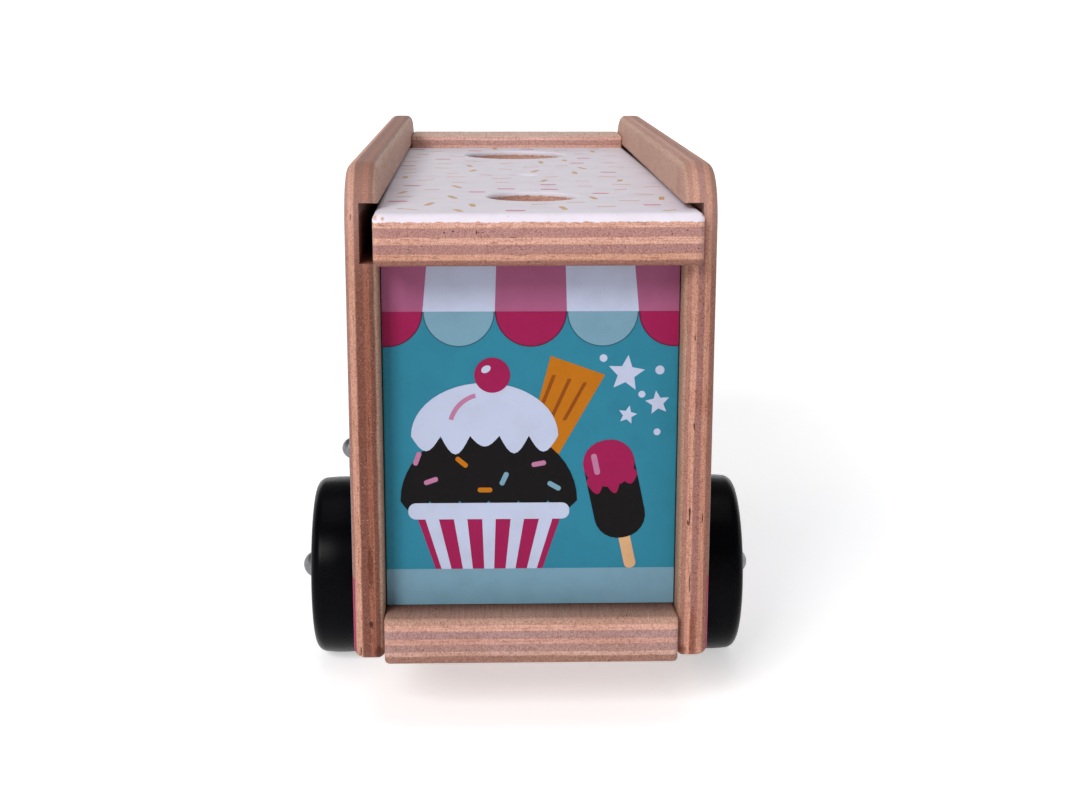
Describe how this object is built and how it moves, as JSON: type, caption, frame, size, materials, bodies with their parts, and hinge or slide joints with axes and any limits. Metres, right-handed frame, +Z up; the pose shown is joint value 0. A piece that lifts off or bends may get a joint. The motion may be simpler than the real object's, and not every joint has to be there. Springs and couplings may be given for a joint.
{
  "type": "wooden toy ice cream truck",
  "caption": "Wooden push-along toy ice cream truck: a plywood box body on wooden wheels, open inside, with a sliding roof lid that has holes to stand toy cones in.",
  "frame": {"origin": "on the ground, at the middle of the truck's outer box with the lid closed", "axes": "+X to the truck's right, +Y forward, +Z up"},
  "size_m": [0.1438, 0.2696, 0.1622],
  "materials": {
    "side_board": "satin plywood with a printed outer face in teal, pink and white",
    "bare_ply": "bare sanded plywood with open edge plies",
    "printed_panel": "satin print in teal, pink and white on plywood",
    "printed_lid": "satin white paint with printed sprinkles on plywood",
    "black_wheel": "satin black lacquer on turned beech",
    "steel": "zinc plated, slightly dull"
  },
  "bodies": {
    "body": {"side_board_left": "side_board", "side_board_right": "side_board", "floor_board": "bare_ply", "rear_panel": "printed_panel", "front_panel": "printed_panel", "front_header": "bare_ply", "rear_axle": "steel", "front_axle": "steel", "axle_cap_rear_left": "steel", "axle_cap_rear_right": "steel", "axle_cap_front_left": "steel", "axle_cap_front_right": "steel"},
    "lid": {"roof_lid": "printed_lid"},
    "wheel_rear_left": {"wheel_rear_left": "black_wheel"},
    "wheel_rear_right": {"wheel_rear_right": "black_wheel"},
    "wheel_front_left": {"wheel_front_left": "black_wheel"},
    "wheel_front_right": {"wheel_front_right": "black_wheel"}
  },
  "joints": [
    {"name": "lid_slide", "type": "slide", "parent": "body", "child": "lid", "axis": [0, -1, 0], "range_m": [0, 0.235]},
    {"name": "wheel_rear_left_spin", "type": "hinge", "parent": "body", "child": "wheel_rear_left", "pos_m": [-0.0598, -0.0607, 0.0283], "axis": [1, 0, 0], "continuous": true},
    {"name": "wheel_rear_right_spin", "type": "hinge", "parent": "body", "child": "wheel_rear_right", "pos_m": [0.0598, -0.0607, 0.0283], "axis": [1, 0, 0], "continuous": true},
    {"name": "wheel_front_left_spin", "type": "hinge", "parent": "body", "child": "wheel_front_left", "pos_m": [-0.0598, 0.0898, 0.0283], "axis": [1, 0, 0], "continuous": true},
    {"name": "wheel_front_right_spin", "type": "hinge", "parent": "body", "child": "wheel_front_right", "pos_m": [0.0598, 0.0898, 0.0283], "axis": [1, 0, 0], "continuous": true}
  ]
}
